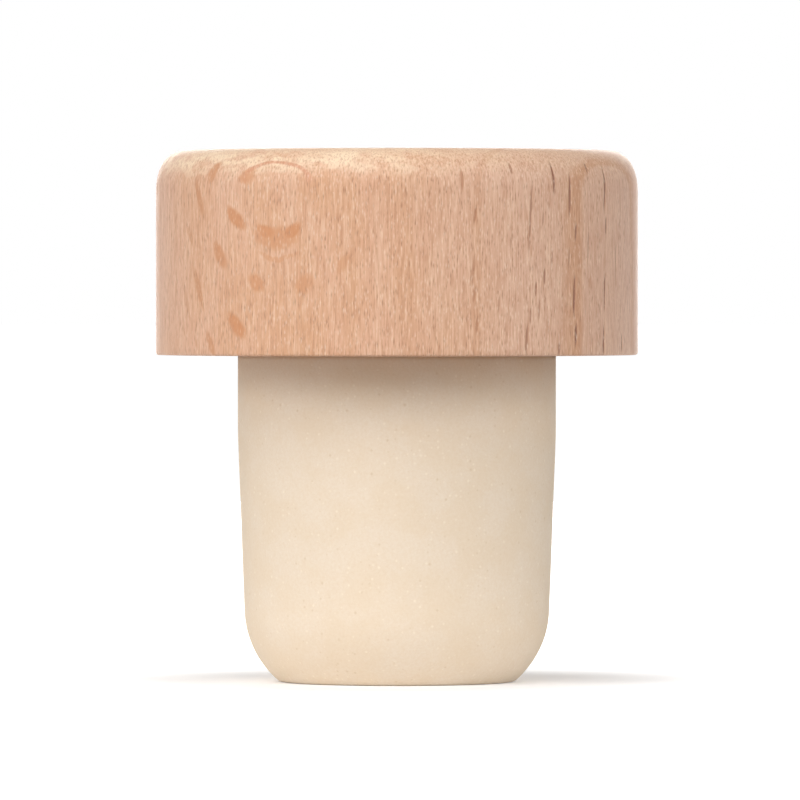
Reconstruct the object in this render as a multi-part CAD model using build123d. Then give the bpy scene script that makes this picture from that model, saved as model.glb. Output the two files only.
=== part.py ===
"""Bar-top bottle stopper with a turned wooden head and a moulded plug.

Millimetres, +Z up, origin at the centre of the plug's flat foot, so that the
stopper stands on its foot with the head on top, as it sits in a bottle.

The stopper is two pieces. The head is a disc of beech, turned with its grain
upright, rounded over at the top and drilled from below with a blind bore. The
plug is one moulding of synthetic cork: a spigot that is glued into that bore, a
flat shoulder that seats on the head's underside, a cylindrical band that seals
the bottle's neck, a tapered length that guides it in, and a rounded nose.
"""

import os
from math import cos, radians, sin, tan

from build123d import *

# Head
head_diameter = 29.5
head_height = 12.5
crown_width = 1.6  # how far the rounding at the top reaches in from the side
crown_drop = 2.4  # how far it reaches down the side
rim_radius = 0.15  # sanded edge round the underside

# Plug, from the foot up to the shoulder
plug_length = 20.0
seal_diameter = 19.5
seal_length = 5.0  # cylindrical band under the head
taper_angle = 2.2  # degrees a side, from the seal band down to the nose
nose_height = 4.3
nose_inset = 2.15  # how far the nose rounds in from the end of the taper
foot_radius = 0.5  # softened edge between the nose and the flat foot

# Glue joint, hidden in the head
spigot_diameter = 13.0
spigot_length = 6.0
spigot_chamfer = 0.5  # lead-in at the spigot's top
glue_gap = 0.1  # room for adhesive round the spigot
glue_pocket = 0.5  # and above it


def plug_widths():
    """The plug's radius where the taper ends and the nose begins, and at its flat foot."""
    taper_length = plug_length - seal_length - nose_height
    nose = seal_diameter / 2 - taper_length * tan(radians(taper_angle))
    return nose, nose - nose_inset


def turned_head():
    """The beech head: its half section, with the blind bore, revolved about the axis."""
    radius = head_diameter / 2
    bore = spigot_diameter / 2 + glue_gap
    bore_end = plug_length + spigot_length + glue_pocket
    top = plug_length + head_height
    with BuildPart() as head:
        with BuildSketch(Plane.XZ):
            with BuildLine():
                underside = Line((bore, plug_length), (radius, plug_length))
                side = Line(underside @ 1, (radius, top - crown_drop))
                crown = EllipticalCenterArc(
                    (radius - crown_width, top - crown_drop), crown_width, crown_drop, arc_size=90
                )
                Polyline(crown @ 1, (0, top), (0, bore_end), (bore, bore_end), underside @ 0)
            make_face()
        revolve(axis=Axis.Z)
        rim = edges().filter_by(GeomType.CIRCLE).filter_by_position(Axis.Z, plug_length, plug_length)
        fillet(rim.sort_by(SortBy.RADIUS)[-1], rim_radius)
    return head.part


def moulded_plug():
    """The synthetic plug with its spigot: its half section revolved about the axis."""
    seal = seal_diameter / 2
    spigot = spigot_diameter / 2
    spigot_top = plug_length + spigot_length
    nose, foot = plug_widths()
    down_the_taper = (-sin(radians(taper_angle)), -cos(radians(taper_angle)))
    with BuildPart() as plug:
        with BuildSketch(Plane.XZ):
            with BuildLine():
                rounding = TangentArc((nose, nose_height), (foot, 0), tangent=down_the_taper)
                Polyline(
                    rounding @ 1,
                    (0, 0),
                    (0, spigot_top),
                    (spigot - spigot_chamfer, spigot_top),
                    (spigot, spigot_top - spigot_chamfer),
                    (spigot, plug_length),
                    (seal, plug_length),
                    (seal, plug_length - seal_length),
                    rounding @ 0,
                )
            make_face()
        revolve(axis=Axis.Z)
        fillet(edges().filter_by(GeomType.CIRCLE).sort_by(Axis.Z)[0], foot_radius)
    return plug.part


os.makedirs("parts", exist_ok=True)
export_step(turned_head(), "parts/wooden_head.step")
export_step(moulded_plug(), "parts/synthetic_plug.step")
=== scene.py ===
"""A bar-top bottle stopper: a turned beech head on a moulded plug of synthetic cork.

It stands on the plug's foot at the origin, +Z up, with the side that is seen first towards -Y.
"""

import math

import bpy
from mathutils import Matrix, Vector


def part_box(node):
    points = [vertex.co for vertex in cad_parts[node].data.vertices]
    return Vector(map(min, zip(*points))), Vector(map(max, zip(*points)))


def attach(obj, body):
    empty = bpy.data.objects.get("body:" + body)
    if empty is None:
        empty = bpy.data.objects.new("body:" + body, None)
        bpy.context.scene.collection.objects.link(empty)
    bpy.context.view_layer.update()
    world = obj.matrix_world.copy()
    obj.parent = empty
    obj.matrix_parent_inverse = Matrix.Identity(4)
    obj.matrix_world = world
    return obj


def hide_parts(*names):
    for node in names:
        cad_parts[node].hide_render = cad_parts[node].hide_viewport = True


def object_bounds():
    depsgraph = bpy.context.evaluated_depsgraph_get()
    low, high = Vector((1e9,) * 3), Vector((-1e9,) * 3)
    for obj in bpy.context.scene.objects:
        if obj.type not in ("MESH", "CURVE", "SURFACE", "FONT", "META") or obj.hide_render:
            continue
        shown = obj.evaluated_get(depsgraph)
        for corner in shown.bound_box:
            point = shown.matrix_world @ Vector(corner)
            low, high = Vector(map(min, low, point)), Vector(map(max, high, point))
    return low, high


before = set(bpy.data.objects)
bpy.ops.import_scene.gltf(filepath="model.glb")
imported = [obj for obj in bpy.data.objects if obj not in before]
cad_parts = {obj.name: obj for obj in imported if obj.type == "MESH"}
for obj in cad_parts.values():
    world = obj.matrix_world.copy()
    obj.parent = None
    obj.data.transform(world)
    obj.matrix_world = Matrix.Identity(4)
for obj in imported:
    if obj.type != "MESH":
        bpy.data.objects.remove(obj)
cad_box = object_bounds()


# The head. It is one disc of steamed beech, turned on its axis with the grain
# upright, so its sides show long grain all round and its top shows end grain.
# The top edge is rounded over, and a blind bore below takes the plug's spigot.

mm = 0.001
head_low, head_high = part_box("wooden_head")
head_radius = head_high.x
head_underside = head_low.z
head_top = head_high.z
crown_width = 1.6 * mm
crown_drop = 2.4 * mm
rim_radius = 0.15 * mm
bore_radius = 6.6 * mm
bore_depth = 6.5 * mm


def add_node(tree, kind, inputs=(), output=0, **settings):
    """Adds a node, sets or links its inputs by number or name, and gives one of its outputs."""
    made = tree.nodes.new(kind)
    for name, value in settings.items():
        setattr(made, name, value)
    for socket, value in inputs.items() if isinstance(inputs, dict) else enumerate(inputs):
        if isinstance(value, bpy.types.NodeSocket):
            tree.links.new(value, made.inputs[socket])
        else:
            made.inputs[socket].default_value = value
    return made.outputs[output] if len(made.outputs) else made


def linear(sheet_hex):
    """A colour's linear red, green, blue and alpha from its sRGB hex value."""
    shares = [int(sheet_hex[n : n + 2], 16) / 255 for n in (0, 2, 4)]
    return [s / 12.92 if s <= 0.04045 else ((s + 0.055) / 1.055) ** 2.4 for s in shares] + [1.0]


def straight(start, end, step):
    """Points of a half section from start up to, but not at, end, about a step apart."""
    count = max(1, round(math.dist(start, end) / step))
    return [tuple(a + (b - a) * n / count for a, b in zip(start, end)) for n in range(count)]


def rounded(centre, width, height, first, last, count):
    """Points of a half section along an ellipse, up to but not at its end, by angles in degrees."""
    angles = [math.radians(first + (last - first) * n / count) for n in range(count)]
    return [(centre[0] + width * math.cos(a), centre[1] + height * math.sin(a)) for a in angles]


def body_of_revolution(name, half_section, segments, material, relief):
    """Revolves a half section, points of radius and height from axis to axis, and carves relief into it."""
    outline = bpy.data.meshes.new(name + "_section")
    outline.from_pydata([(radius, 0, height) for radius, height in half_section], [], [])
    piece = bpy.data.objects.new(name, outline)
    bpy.context.scene.collection.objects.link(piece)

    tree = bpy.data.node_groups.new(name + "_revolved", "GeometryNodeTree")
    named = {}
    for label, kind in (("Section", "Geometry"), ("Segments", "Int"), ("Finish", "Material")):
        named[label] = tree.interface.new_socket(name=label, in_out="INPUT", socket_type="NodeSocket" + kind)
    tree.interface.new_socket(name="Piece", in_out="OUTPUT", socket_type="NodeSocketGeometry")
    given = add_node(tree, "NodeGroupInput").node.outputs

    # A grid whose rows are wrapped round the axis, a column of the section to each.
    columns = add_node(tree, "ShaderNodeMath", (given["Segments"], 1.0), operation="ADD")
    rows = add_node(tree, "GeometryNodeAttributeDomainSize", (given["Section"],), "Point Count")
    grid = add_node(tree, "GeometryNodeMeshGrid", {"Vertices X": columns, "Vertices Y": rows}, "Mesh")
    index = add_node(tree, "GeometryNodeInputIndex")
    row = add_node(tree, "ShaderNodeMath", (index, rows), operation="MODULO")
    turn = add_node(tree, "ShaderNodeMath", (index, rows), operation="DIVIDE")
    turn = add_node(tree, "ShaderNodeMath", (turn,), operation="FLOOR")
    turn = add_node(tree, "ShaderNodeMath", (turn, given["Segments"]), operation="DIVIDE")
    turn = add_node(tree, "ShaderNodeMath", (turn, 2 * math.pi), operation="MULTIPLY")
    place = add_node(tree, "GeometryNodeInputPosition")
    point = {"Geometry": given["Section"], "Value": place, "Index": row}
    point = add_node(tree, "GeometryNodeSampleIndex", point, data_type="FLOAT_VECTOR")
    wrapped = {"Vector": point, "Angle": turn}
    wrapped = add_node(tree, "ShaderNodeVectorRotate", wrapped, rotation_type="Z_AXIS")
    skin = add_node(tree, "GeometryNodeSetPosition", {"Geometry": grid, "Position": wrapped})
    skin = add_node(tree, "GeometryNodeMergeByDistance", {"Geometry": skin, "Distance": 0.001 * mm})

    # The surface moves along its normal by the relief.
    normal = add_node(tree, "GeometryNodeInputNormal")
    moved = {0: normal, "Scale": relief(tree, place)}
    moved = add_node(tree, "ShaderNodeVectorMath", moved, operation="SCALE")
    skin = add_node(tree, "GeometryNodeSetPosition", {"Geometry": skin, "Offset": moved})
    skin = add_node(tree, "GeometryNodeSetShadeSmooth", {"Geometry": skin})
    skin = add_node(tree, "GeometryNodeRealizeInstances", {"Geometry": skin})
    skin = add_node(tree, "GeometryNodeSetMaterial", {"Geometry": skin, "Material": given["Finish"]})
    add_node(tree, "NodeGroupOutput", (skin,))

    modifier = piece.modifiers.new("Revolve", "NODES")
    modifier.node_group = tree
    modifier[named["Segments"].identifier] = segments
    modifier[named["Finish"].identifier] = material
    evaluated = piece.evaluated_get(bpy.context.evaluated_depsgraph_get())
    piece.data = bpy.data.meshes.new_from_object(evaluated)
    piece.modifiers.clear()
    return piece


# Steamed beech, sanded and unvarnished. The eye sees pinkish tan wood with fine
# upright pores, faint growth rings, and rays: thin upright sheets that run from the
# tree's middle outwards. They show as broad brown flakes where the surface lies
# along them, and as short dark lines where it cuts across them.

quarter_face = 29.0  # degrees from the front to the face that lies along the rays
ray_slant = 0.13  # how far the rays lean sideways for each millimetre of height, at the head's middle
slant_loss = 0.006  # and how much less they lean with each millimetre outwards along them
head_middle = (head_underside + head_top) / 2 / mm

# The rays that stand out at the front: degrees round from the front, the heights of
# the lower and upper end above the underside, half the thickness and half the length
# inwards, in millimetres, and how strongly it is coloured.
front_rays = (
    (-29.0, 6.0, 8.1, 0.145, 2.4, 0.6),
    (-32.3, 6.7, 8.2, 0.08, 0.9, 0.9),
    (-25.0, 6.7, 8.2, 0.08, 0.9, 0.9),
    (-29.0, 5.0, 6.6, 0.03, 2.2, 0.45),
    (-35.0, 3.7, 5.1, 0.14, 0.9, 0.7),
    (-22.0, 3.6, 5.1, 0.14, 0.9, 0.45),
    (-12.4, 4.8, 6.2, 0.11, 3.0, 0.4),
    (-40.0, 10.2, 11.4, 0.13, 2.0, 0.7),
    (-41.1, 7.5, 9.1, 0.15, 2.2, 0.9),
    (-46.3, 5.2, 7.0, 0.17, 2.5, 0.8),
    (-41.1, 1.0, 2.7, 0.17, 2.2, 1.0),
    (-54.3, 2.6, 5.5, 0.15, 4.0, 0.6),
    (-54.0, 8.3, 10.8, 0.13, 4.0, 0.6),
    (-51.0, 10.3, 11.8, 0.15, 4.0, 0.7),
    (-49.6, 0.0, 1.5, 0.15, 4.0, 0.7),
    (-57.8, 6.6, 7.9, 0.13, 4.0, 0.5),
    (-59.2, 1.9, 4.4, 0.11, 4.0, 0.3),
    (15.5, 9.9, 11.3, 0.10, 7.0, 0.7),
    (18.5, 7.9, 9.1, 0.09, 7.0, 0.8),
    (18.0, 4.2, 6.1, 0.09, 7.0, 0.5),
    (19.0, 1.4, 2.4, 0.09, 7.0, 0.7),
    (28.5, 10.9, 11.6, 0.11, 7.0, 0.8),
    (33.0, 6.1, 10.6, 0.09, 7.0, 0.7),
    (34.5, 3.6, 4.5, 0.10, 7.0, 0.8),
    (32.0, 0.1, 2.0, 0.11, 7.0, 0.8),
    (35.5, 2.2, 3.4, 0.09, 7.0, 0.5),
    (37.0, 4.3, 5.3, 0.10, 7.0, 0.8),
    (36.5, 7.8, 8.7, 0.07, 7.0, 0.5),
    (40.0, 9.7, 11.7, 0.12, 7.0, 1.0),
    (41.5, 0.0, 0.9, 0.11, 7.0, 0.7),
    (45.0, 8.4, 11.0, 0.12, 7.0, 0.9),
    (47.0, 6.9, 8.1, 0.10, 7.0, 0.8),
    (46.5, 2.4, 4.9, 0.12, 7.0, 1.0),
    (47.0, 0.6, 2.0, 0.12, 7.0, 1.0),
    (52.0, 11.0, 11.7, 0.10, 7.0, 0.7),
    (58.5, 8.6, 11.5, 0.11, 7.0, 0.9),
    (59.0, 7.3, 8.4, 0.10, 7.0, 0.8),
    (58.5, 2.7, 5.0, 0.11, 7.0, 0.9),
    (58.0, 0.0, 1.9, 0.11, 7.0, 1.0),
    (67.7, 0.2, 1.3, 0.1, 7.0, 0.8),
    (33.0, 1.9, 3.0, 0.07, 7.0, 0.5),
    (18.2, 3.2, 4.1, 0.08, 7.0, 0.6),
    (39.2, 5.4, 6.4, 0.07, 7.0, 0.5),
    (44.6, 5.2, 6.6, 0.07, 7.0, 0.5),
    (51.5, 5.6, 7.6, 0.07, 7.0, 0.5),
    (24.5, 2.6, 3.6, 0.07, 7.0, 0.45),
    (27.6, 6.4, 7.4, 0.07, 7.0, 0.4),
    (63.9, 4.2, 6.9, 0.07, 7.0, 0.5),
)


def in_the_grain(tree, place):
    """The place in millimetres, turned so that the rays run along X and the growth rings lie across it."""
    turned = {"Vector": place, "Angle": math.radians(quarter_face)}
    turned = add_node(tree, "ShaderNodeVectorRotate", turned, rotation_type="Z_AXIS")
    return add_node(tree, "ShaderNodeVectorMath", {0: turned, "Scale": 1 / mm}, operation="SCALE")


def ray_place(tree, grain):
    """The place in the grain, straightened, so that a ray lies at one Y however it leans and wanders."""
    x, y, z = add_node(tree, "ShaderNodeSeparateXYZ", (grain,)).node.outputs
    lean = add_node(tree, "ShaderNodeMath", (z, head_middle), operation="SUBTRACT")
    slant = add_node(tree, "ShaderNodeMath", (x, slant_loss, -ray_slant), operation="MULTIPLY_ADD")
    y = add_node(tree, "ShaderNodeMath", (lean, slant, y), operation="MULTIPLY_ADD")
    wander = add_node(tree, "ShaderNodeTexNoise", {"Vector": grain, "Scale": 0.45, "Detail": 2.0})
    y = add_node(tree, "ShaderNodeMath", (wander, 0.14, y), operation="MULTIPLY_ADD")
    y = add_node(tree, "ShaderNodeMath", (y, 0.07), operation="SUBTRACT")
    return add_node(tree, "ShaderNodeCombineXYZ", (x, y, z))


def placed_rays(tree, place):
    """The rays that stand out at the front: their strength inside them, and 0 between them."""
    found = 0.0
    for angle, low, high, half_thickness, half_length, strength in front_rays:
        turned = math.radians(angle + quarter_face)
        height = head_underside / mm + (low + high) / 2
        x = head_radius / mm * math.sin(turned)
        y = -head_radius / mm * math.cos(turned) - (ray_slant - slant_loss * x) * (height - head_middle)
        size = (half_length, half_thickness, (high - low) / 2 * 1.2)
        away = add_node(tree, "ShaderNodeVectorMath", (place, (x, y, height)), operation="SUBTRACT")
        away = add_node(tree, "ShaderNodeVectorMath", (away, size), operation="DIVIDE")
        away = add_node(tree, "ShaderNodeVectorMath", (away,), "Value", operation="LENGTH")
        inside = (away, 1.0, 0.5, 0.0, strength)
        inside = add_node(tree, "ShaderNodeMapRange", inside, interpolation_type="SMOOTHSTEP")
        found = add_node(tree, "ShaderNodeMath", (inside, found), operation="MAXIMUM")
    return found


def strewn_marks(tree, place, spacing, size):
    """Pointed marks strewn at random, one to a cell of this spacing in millimetres, and their strength."""
    cell = add_node(tree, "ShaderNodeVectorMath", (place, spacing), operation="DIVIDE")
    cell = {"Vector": cell, "Scale": 1.0, "Exponent": 1.3}
    nearest = add_node(tree, "ShaderNodeTexVoronoi", cell, distance="MINKOWSKI").node.outputs
    pick = add_node(tree, "ShaderNodeSeparateXYZ", (nearest["Color"],))
    reach = add_node(tree, "ShaderNodeMath", (pick, size), operation="MULTIPLY")
    inside = (nearest["Distance"], reach, 0.0)
    inside = add_node(tree, "ShaderNodeMapRange", inside, interpolation_type="SMOOTHSTEP")
    return add_node(tree, "ShaderNodeMath", (inside, pick), operation="MULTIPLY")


def all_rays(tree, place):
    """Every ray of the head: those placed at the front, and others strewn through the rest."""
    broad = strewn_marks(tree, place, (50, 0.8, 6.0), 0.20)
    fine = strewn_marks(tree, place, (50, 0.36, 2.6), 0.24)
    fine = add_node(tree, "ShaderNodeMath", (fine, 0.85), operation="MULTIPLY")
    strewn = add_node(tree, "ShaderNodeMath", (broad, fine), operation="MAXIMUM")
    front = (0.0, -head_radius / mm, head_middle)
    away = add_node(tree, "ShaderNodeVectorMath", (place, front), "Value", operation="DISTANCE")
    away = add_node(tree, "ShaderNodeMapRange", (away, 5.0, 9.0))
    strewn = add_node(tree, "ShaderNodeMath", (strewn, away), operation="MULTIPLY")
    return add_node(tree, "ShaderNodeMath", (placed_rays(tree, place), strewn), operation="MAXIMUM")


def crossing(tree, grain):
    """1 where the side of the head cuts across the rays, and 0 where it lies along them."""
    x = add_node(tree, "ShaderNodeSeparateXYZ", (grain,))
    share = add_node(tree, "ShaderNodeMath", (x, head_radius / mm), operation="DIVIDE")
    return add_node(tree, "ShaderNodeMath", (share, share), operation="MULTIPLY")


def head_relief(tree, place):
    """How far the skin moves along its normal: rays that the surface cuts across are open by a hair."""
    grain = in_the_grain(tree, place)
    rays = all_rays(tree, ray_place(tree, grain))
    depth = add_node(tree, "ShaderNodeMath", (rays, crossing(tree, grain)), operation="MULTIPLY")
    return add_node(tree, "ShaderNodeMath", (depth, -0.06 * mm), operation="MULTIPLY")


def streaks(tree, place, width, length, detail, shift=0.0):
    """Soft streaks, from 0 to 1, so wide across the fibres and so long along them, in millimetres."""
    place = (place, (1 / width, 1 / width, 1 / length), (shift, shift, shift))
    place = add_node(tree, "ShaderNodeVectorMath", place, operation="MULTIPLY_ADD")
    noise = {"Vector": place, "Scale": 1.0, "Detail": detail, "Roughness": 0.6}
    return add_node(tree, "ShaderNodeTexNoise", noise)


beech = bpy.data.materials.new("steamed_beech")
beech.use_nodes = True
tree = beech.node_tree
shader = tree.nodes["Principled BSDF"]
position = add_node(tree, "ShaderNodeTexCoord", (), "Object")
grain = in_the_grain(tree, position)
straightened = ray_place(tree, grain)
rays = all_rays(tree, straightened)
across = crossing(tree, grain)
along = add_node(tree, "ShaderNodeSeparateXYZ", (grain,))
fibres = streaks(tree, grain, 0.10, 1.4, 3.0)

# The wood between its markings: a little greyer where it is cut across the rays.
cloud = streaks(tree, grain, 4.0, 9.0, 2.0, 17.0)
cloud = add_node(tree, "ShaderNodeMapRange", (cloud, 0.35, 0.65), interpolation_type="SMOOTHSTEP")
mixed = {0: cloud, 6: linear("DBAA8A"), 7: linear("D6A27C")}
colour = add_node(tree, "ShaderNodeMix", mixed, 2, data_type="RGBA")
mixed = {0: across, 6: colour, 7: linear("D3AA91")}
colour = add_node(tree, "ShaderNodeMix", mixed, 2, data_type="RGBA")
coarse = streaks(tree, grain, 0.45, 7.0, 2.0, 3.0)
coarse = (coarse, 0.45, 0.75, 0.0, 0.4)
coarse = add_node(tree, "ShaderNodeMapRange", coarse, interpolation_type="SMOOTHSTEP")
mixed = {0: coarse, 6: colour, 7: linear("E6C1A4")}
colour = add_node(tree, "ShaderNodeMix", mixed, 2, data_type="RGBA")

# End grain, on the top and over the rounding, creamy in blotches: partly the end grain's own paler colour
# and partly a painted highlight where the light from above falls on the rounding, painted weaker towards the
# right as seen from the front, where the lamps light it more.
blotch = add_node(tree, "ShaderNodeVectorMath", (grain, (0.7, 1.0, 1.6)), operation="MULTIPLY")
blotch = {"Vector": blotch, "Scale": 1.0, "Detail": 4.0, "Roughness": 0.6}
blotch = add_node(tree, "ShaderNodeTexNoise", blotch)
object_z = add_node(tree, "ShaderNodeSeparateXYZ", (position,), "Z")
flat_top = (object_z, head_top - 0.5 * mm, head_top - 0.02 * mm, 0.0, 0.8)
flat_top = add_node(tree, "ShaderNodeMapRange", flat_top)
blotch = add_node(tree, "ShaderNodeMix", {0: flat_top, 2: blotch, 3: 0.5}, data_type="FLOAT")
edge = add_node(tree, "ShaderNodeMath", (blotch, 1.6 * mm, object_z), operation="MULTIPLY_ADD")
edge = (edge, head_top - 1.3 * mm, head_top + 0.5 * mm)
edge = add_node(tree, "ShaderNodeMapRange", edge, interpolation_type="SMOOTHSTEP")
# This paleness is partly end grain and partly a painted highlight from the light above.
pale_end_grain_and_highlight = add_node(tree, "ShaderNodeMapRange", (blotch, 0.39, 0.57, 0.25, 1.0))
# Less of the painted highlight towards the right, seen from the front, where the lamps light the rounding
# more.
highlight_fade_right = add_node(tree, "ShaderNodeMapRange", (along, 4.0, 13.0, 1.0, 0.3))
pale_end_grain_and_highlight = add_node(tree, "ShaderNodeMath", (pale_end_grain_and_highlight, highlight_fade_right), operation="MULTIPLY")
pale_end_grain_and_highlight = add_node(tree, "ShaderNodeMath", (pale_end_grain_and_highlight, edge), operation="MULTIPLY")
mixed = {0: pale_end_grain_and_highlight, 6: colour, 7: linear("F7DDBD")}
colour = add_node(tree, "ShaderNodeMix", mixed, 2, data_type="RGBA")

# The rounding cuts through one broad ray near the front, which shows there as an arch.
arch_ray = -15.10  # where that ray lies, in the straightened millimetres
ray_x, ray_y, _ = add_node(tree, "ShaderNodeSeparateXYZ", (straightened,)).node.outputs
arch = add_node(tree, "ShaderNodeMath", (ray_y, arch_ray), operation="SUBTRACT")
arch = add_node(tree, "ShaderNodeMath", (arch,), operation="ABSOLUTE")
arch = add_node(tree, "ShaderNodeMapRange", (arch, 0.055, 0.015), interpolation_type="SMOOTHSTEP")
arch_end = add_node(tree, "ShaderNodeMath", (ray_x,), operation="ABSOLUTE")
arch_end = (arch_end, 2.7, 2.2, 0.0, 0.75)
arch_end = add_node(tree, "ShaderNodeMapRange", arch_end, interpolation_type="SMOOTHSTEP")
arch = add_node(tree, "ShaderNodeMath", (arch, arch_end), operation="MULTIPLY")
arch_foot = add_node(tree, "ShaderNodeMapRange", (object_z, head_top - 2.3 * mm, head_top - 1.6 * mm))
arch = add_node(tree, "ShaderNodeMath", (arch, arch_foot), operation="MULTIPLY")
mixed = {0: arch, 6: colour, 7: linear("D08C6A")}
colour = add_node(tree, "ShaderNodeMix", mixed, 2, data_type="RGBA")

# Growth rings: nearly flat layers that cross X, each darker towards its outer edge.
ring_width = 2.7  # in millimetres, as the next two are
pith = 60.0  # from the head's axis to the tree's middle
ring_edge = 74.75  # from the tree's middle to the outer edge of one ring
from_pith = add_node(tree, "ShaderNodeVectorMath", (grain, (pith, 0.0, 0.0)), operation="ADD")
from_pith = add_node(tree, "ShaderNodeVectorMath", (from_pith, (1, 1, 0)), operation="MULTIPLY")
from_pith = add_node(tree, "ShaderNodeVectorMath", (from_pith,), "Value", operation="LENGTH")
drift = streaks(tree, grain, 5.0, 20.0, 1.0)
ring = add_node(tree, "ShaderNodeMath", (drift, 0.5, from_pith), operation="MULTIPLY_ADD")
ring = add_node(tree, "ShaderNodeMath", (ring, ring_edge), operation="SUBTRACT")
ring = add_node(tree, "ShaderNodeMath", (ring, ring_width), operation="DIVIDE")
ring = add_node(tree, "ShaderNodeMath", (ring,), operation="FRACT")
darker = add_node(tree, "ShaderNodeMapRange", (ring, 0.80, 0.94), interpolation_type="SMOOTHSTEP")
ended = add_node(tree, "ShaderNodeMapRange", (ring, 1.0, 0.96), interpolation_type="SMOOTHSTEP")
late_wood = add_node(tree, "ShaderNodeMath", (darker, ended), operation="MULTIPLY")
shown = add_node(tree, "ShaderNodeMapRange", (across, 0.35, 1.0, 0.12, 0.6))
late_wood = add_node(tree, "ShaderNodeMath", (late_wood, shown), operation="MULTIPLY")
mixed = {0: late_wood, 6: colour, 7: linear("BE8458")}
colour = add_node(tree, "ShaderNodeMix", mixed, 2, data_type="RGBA")

# Fibres, darker and paler by turns.
dark_fibre = (fibres, 0.28, 0.54, 0.7, 0.0)
dark_fibre = add_node(tree, "ShaderNodeMapRange", dark_fibre, interpolation_type="SMOOTHSTEP")
mixed = {0: dark_fibre, 6: colour, 7: linear("BF8A69")}
colour = add_node(tree, "ShaderNodeMix", mixed, 2, data_type="RGBA")
pale_fibre = (fibres, 0.50, 0.72, 0.0, 0.6)
pale_fibre = add_node(tree, "ShaderNodeMapRange", pale_fibre, interpolation_type="SMOOTHSTEP")
mixed = {0: pale_fibre, 6: colour, 7: linear("EFCDAF")}
colour = add_node(tree, "ShaderNodeMix", mixed, 2, data_type="RGBA")

# Rays: lighter brown where they lie in the surface, and dark where it cuts across them, partly their own
# colour and partly painted shade inside the rays that the relief opens there.
mixed = {0: across, 6: linear("C98552"), 7: linear("70402A")}
# The dark colour is partly the rays' own and partly painted shade in the open rays.
ray_colour_and_shade = add_node(tree, "ShaderNodeMix", mixed, 2, data_type="RGBA")
frayed = add_node(tree, "ShaderNodeMapRange", (fibres, 0.3, 0.6, 0.6, 1.0))
frayed = add_node(tree, "ShaderNodeMath", (frayed, rays), operation="MULTIPLY")
mixed = {0: frayed, 6: colour, 7: ray_colour_and_shade}
colour = add_node(tree, "ShaderNodeMix", mixed, 2, data_type="RGBA")

# Open pores, and pale fibre ends between them.
pores = strewn_marks(tree, grain, (0.10, 0.10, 0.5), 0.85)
shown = add_node(tree, "ShaderNodeMapRange", (edge, 0.0, 1.0, 0.75, 0.3))
shown = add_node(tree, "ShaderNodeMath", (pores, shown), operation="MULTIPLY")
mixed = {0: shown, 6: colour, 7: linear("A06C4C")}
colour = add_node(tree, "ShaderNodeMix", mixed, 2, data_type="RGBA")
pale = strewn_marks(tree, grain, (0.10, 0.10, 0.38), 0.85)
shown = add_node(tree, "ShaderNodeMapRange", (along, -9.0, 2.0, 0.3, 0.52))
shown = add_node(tree, "ShaderNodeMath", (pale, shown), operation="MULTIPLY")
mixed = {0: shown, 6: colour, 7: linear("F6DEC6")}
colour = add_node(tree, "ShaderNodeMix", mixed, 2, data_type="RGBA")
tree.links.new(colour, shader.inputs["Base Color"])
shader.inputs["Roughness"].default_value = 0.5
shader.inputs["Sheen Weight"].default_value = 0.04
shader.inputs["Sheen Roughness"].default_value = 0.4
height = add_node(tree, "ShaderNodeMath", (pores, -0.6, fibres), operation="MULTIPLY_ADD")
bump = {"Height": height, "Strength": 0.35, "Distance": 0.02 * mm}
tree.links.new(add_node(tree, "ShaderNodeBump", bump), shader.inputs["Normal"])

axis_end = (0.0, head_underside + bore_depth)
section = straight(axis_end, (bore_radius, axis_end[1]), 2.2 * mm)
section += straight((bore_radius, axis_end[1]), (bore_radius, head_underside), 2.2 * mm)
section += straight((bore_radius, head_underside), (head_radius - rim_radius, head_underside), 1.0 * mm)
rim_centre = (head_radius - rim_radius, head_underside + rim_radius)
crown_centre = (head_radius - crown_width, head_top - crown_drop)
section += rounded(rim_centre, rim_radius, rim_radius, -90, 0, 3)
section += straight((head_radius, rim_centre[1]), (head_radius, crown_centre[1]), 0.35 * mm)
section += rounded(crown_centre, crown_width, crown_drop, 0, 90, 12)
section += straight((head_radius - crown_width, head_top), (0.0, head_top), 1.1 * mm)
section.append((0.0, head_top))
head = body_of_revolution("turned_head", section, 1160, beech, head_relief)
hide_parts("wooden_head")
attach(head, "root")


# The plug. It is one moulding of micro-foamed elastomer, a synthetic cork, with a
# spigot that is glued into the head, a band that seals the neck, a slight taper and
# a rounded nose.

plug_low, plug_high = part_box("synthetic_plug")
seal_radius = plug_high.x
shoulder = head_underside
foot = plug_low.z
seal_band = 5.0 * mm
taper = math.radians(2.2)
nose_height = 4.3 * mm
nose_inset = 2.15 * mm
foot_rounding = 0.5 * mm
spigot_radius = 6.5 * mm
spigot_top = plug_high.z
spigot_chamfer = 0.5 * mm


def plug_relief(tree, place):
    """How far the plug's skin moves along its normal, as foam that set faintly uneven in its mould."""
    soft = add_node(tree, "ShaderNodeTexNoise", {"Vector": place, "Scale": 700.0, "Detail": 3.0})
    return add_node(tree, "ShaderNodeMath", (soft, -0.02 * mm), operation="MULTIPLY")


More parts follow.
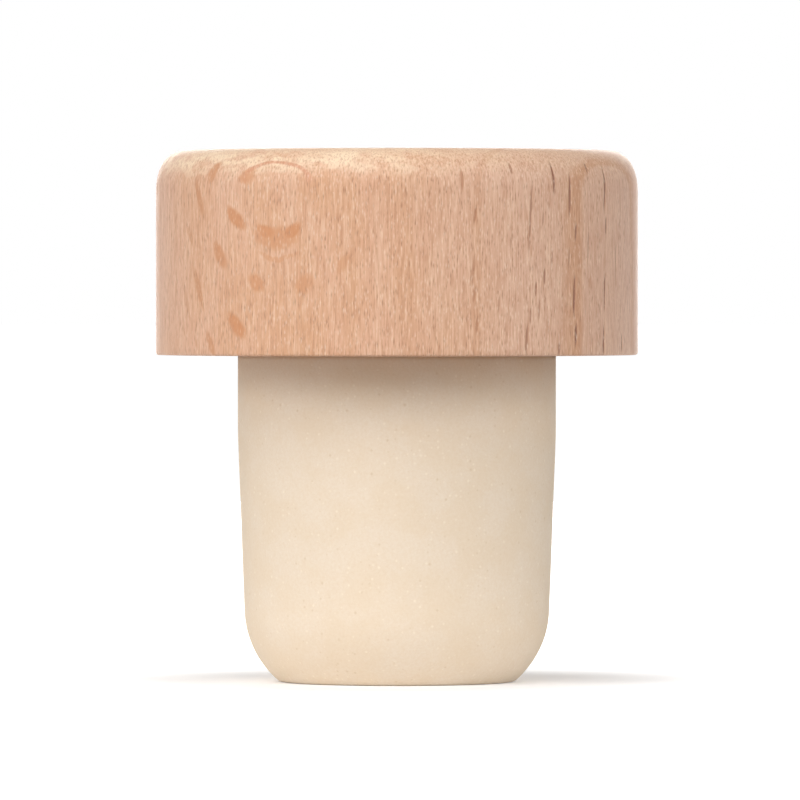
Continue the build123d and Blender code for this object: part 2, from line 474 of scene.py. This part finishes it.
# Matte cream elastomer, foamed very finely: its skin is mottled by a shade, with
# strewn specks of paler and of tan colour no bigger than grains of salt.
cork = bpy.data.materials.new("moulded_synthetic_cork")
cork.use_nodes = True
tree = cork.node_tree
shader = tree.nodes["Principled BSDF"]
position = add_node(tree, "ShaderNodeTexCoord", (), "Object")
in_mm = add_node(tree, "ShaderNodeVectorMath", {0: position, "Scale": 1 / mm}, operation="SCALE")
mottle = add_node(tree, "ShaderNodeTexNoise", {"Vector": in_mm, "Scale": 0.4, "Detail": 3.0})
mottle = add_node(tree, "ShaderNodeMapRange", (mottle, 0.35, 0.65), interpolation_type="SMOOTHSTEP")
mixed = {0: mottle, 6: linear("E9D7C0"), 7: linear("EBDBC7")}
colour = add_node(tree, "ShaderNodeMix", mixed, 2, data_type="RGBA")
foam = {"Vector": in_mm, "Scale": 6.0, "Detail": 3.0, "Roughness": 0.7}
foam = add_node(tree, "ShaderNodeTexNoise", foam)
shown = add_node(tree, "ShaderNodeMapRange", (foam, 0.35, 0.75, 0.0, 0.45))
mixed = {0: shown, 6: colour, 7: linear("E0C8A8")}
colour = add_node(tree, "ShaderNodeMix", mixed, 2, data_type="RGBA")
specks = strewn_marks(tree, in_mm, (0.5, 0.5, 0.5), 0.34)
mixed = {0: specks, 6: colour, 7: linear("DCC6A8")}
colour = add_node(tree, "ShaderNodeMix", mixed, 2, data_type="RGBA")
specks = strewn_marks(tree, in_mm, (0.36, 0.36, 0.36), 0.45)
mixed = {0: specks, 6: colour, 7: linear("F3E4CF")}
colour = add_node(tree, "ShaderNodeMix", mixed, 2, data_type="RGBA")
tree.links.new(colour, shader.inputs["Base Color"])
shader.inputs["Roughness"].default_value = 0.75
shader.inputs["Specular IOR Level"].default_value = 0.35
bump = {"Height": foam, "Strength": 0.4, "Distance": 0.03 * mm}
tree.links.new(add_node(tree, "ShaderNodeBump", bump), shader.inputs["Normal"])

# The nose is an arc that leaves the taper smoothly, and a small rounding joins it to the flat foot.
nose = seal_radius - (shoulder - seal_band - nose_height - foot) * math.tan(taper)
chord = nose_inset**2 + nose_height**2
nose_radius = chord / (2 * (nose_inset * math.cos(taper) - nose_height * math.sin(taper)))
nose_centre = (nose - nose_radius * math.cos(taper), foot + nose_height + nose_radius * math.sin(taper))
drop = nose_centre[1] - foot - foot_rounding
run = math.sqrt((nose_radius - foot_rounding) ** 2 - drop**2)
foot_centre = (nose_centre[0] + run, foot + foot_rounding)
meeting = -math.degrees(math.atan2(drop, run))

section = straight((0.0, foot), (foot_centre[0], foot), 1.2 * mm)
section += rounded(foot_centre, foot_rounding, foot_rounding, -90, meeting, 4)
section += rounded(nose_centre, nose_radius, nose_radius, meeting, -math.degrees(taper), 16)
section += straight((nose, foot + nose_height), (seal_radius, shoulder - seal_band), 0.3 * mm)
section += straight((seal_radius, shoulder - seal_band), (seal_radius, shoulder), 0.3 * mm)
section += straight((seal_radius, shoulder), (spigot_radius, shoulder), 1.6 * mm)
chamfer_low = (spigot_radius, spigot_top - spigot_chamfer)
chamfer_high = (spigot_radius - spigot_chamfer, spigot_top)
section += straight((spigot_radius, shoulder), chamfer_low, 2.2 * mm)
section += straight(chamfer_low, chamfer_high, 1 * mm)
section += straight(chamfer_high, (0.0, spigot_top), 2.2 * mm)
section.append((0.0, spigot_top))
plug = body_of_revolution("moulded_plug", section, 720, cork, plug_relief)
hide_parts("synthetic_plug")
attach(plug, "root")


# A studio table: a pale floor under the foot and white all round. The camera
# and reflections see both as white, with the stopper's shadow, while less of their
# light comes back to the stopper than from a white room.

stage_reach = 6.0
corners = [(x * stage_reach, y * stage_reach, foot) for x, y in ((-1, -1), (1, -1), (1, 1), (-1, 1))]
floor_mesh = bpy.data.meshes.new("floor")
floor_mesh.from_pydata(corners, [], [(0, 1, 2, 3)])
floor = bpy.data.objects.new("floor", floor_mesh)
bpy.context.scene.collection.objects.link(floor)


def seen_as_backdrop(tree):
    """1 for rays that see the backdrop, straight or through a reflection or glass, and 0 for its light."""
    rays_from = add_node(tree, "ShaderNodeLightPath").node.outputs
    straight_on = (rays_from["Is Camera Ray"], rays_from["Is Glossy Ray"])
    straight_on = add_node(tree, "ShaderNodeMath", straight_on, operation="MAXIMUM")
    through = (straight_on, rays_from["Is Transmission Ray"])
    return add_node(tree, "ShaderNodeMath", through, operation="MAXIMUM")


paper = bpy.data.materials.new("white_paper")
paper.use_nodes = True
tree = paper.node_tree
shader = tree.nodes["Principled BSDF"]
seen = seen_as_backdrop(tree)
position = add_node(tree, "ShaderNodeTexCoord", (), "Object")
from_foot = add_node(tree, "ShaderNodeVectorMath", (position,), "Value", operation="LENGTH")
shade = add_node(tree, "ShaderNodeMapRange", (from_foot, 24 * mm, 45 * mm, 0.95, 0.25))
white = add_node(tree, "ShaderNodeMath", (seen, 0.9), operation="MULTIPLY")
shade = add_node(tree, "ShaderNodeMath", (white, shade), operation="MAXIMUM")
tree.links.new(shade, shader.inputs["Base Color"])
shader.inputs["Roughness"].default_value = 1.0
shader.inputs["Specular IOR Level"].default_value = 0.0
shader.inputs["Emission Color"].default_value = (1, 1, 1, 1)
# The floor glows for the camera and reflections, weakly under the foot and fully from 30 mm out: painted
# light that whitens the floor and clears the stopper's shadow beyond the foot.
glow = (from_foot, 11 * mm, 30 * mm, 0.15, 1.0)
glow = add_node(tree, "ShaderNodeMapRange", glow, interpolation_type="SMOOTHSTEP")
glow = add_node(tree, "ShaderNodeMath", (seen, glow), operation="MULTIPLY")
tree.links.new(glow, shader.inputs["Emission Strength"])
floor_mesh.materials.append(paper)

world = bpy.data.worlds.new("studio")
bpy.context.scene.world = world
world.use_nodes = True
tree = world.node_tree
background = tree.nodes["Background"]
background.inputs["Color"].default_value = (1, 1, 1, 1)
strength = add_node(tree, "ShaderNodeMapRange", (seen_as_backdrop(tree), 0.0, 1.0, 0.04, 1.0))
tree.links.new(strength, background.inputs["Strength"])


def soft_light(name, azimuth, elevation, distance, size, power):
    """A square light that faces the stopper's middle, placed by degrees round from the front and up."""
    lamp = bpy.data.lights.new(name, "AREA")
    lamp.size = size
    lamp.energy = power
    holder = bpy.data.objects.new(name, lamp)
    around, up = math.radians(azimuth), math.radians(elevation)
    aim = (cad_box[0] + cad_box[1]) / 2
    back = aim.copy()
    back.x, back.y, back.z = math.sin(around) * math.cos(up), -math.cos(around) * math.cos(up), math.sin(up)
    holder.location = aim + back * distance
    holder.rotation_euler = back.to_track_quat("Z", "Y").to_euler()
    bpy.context.scene.collection.objects.link(holder)


soft_light("key", -35, 36, 0.5, 0.40, 1.35)
soft_light("left", -72, 12, 0.5, 0.30, 1.0)
soft_light("right", 55, 20, 0.5, 0.30, 1.05)
soft_light("front", 10, 34, 0.5, 0.30, 0.62)
soft_light("back", 180, 8, 0.5, 0.30, 1.7)


# The camera, level with the stopper and far off, as a long lens sees it.

camera_distance = 0.6
eye_level = 0.0240
aim_height = 0.01724
sideways = 0.00019
view_width = 0.04899  # what the frame takes in, across the stopper's axis
camera_data = bpy.data.cameras.new("camera")
camera_data.sensor_width = 36
camera_data.lens = camera_data.sensor_width * camera_distance / view_width
camera_data.clip_end = 20
camera = bpy.data.objects.new("camera", camera_data)
bpy.context.scene.collection.objects.link(camera)
camera.location = (sideways, -camera_distance, eye_level)
camera.rotation_euler = (math.radians(90) - math.atan((eye_level - aim_height) / camera_distance), 0, 0)
bpy.context.scene.camera = camera
bpy.context.scene.view_settings.view_transform = "Standard"
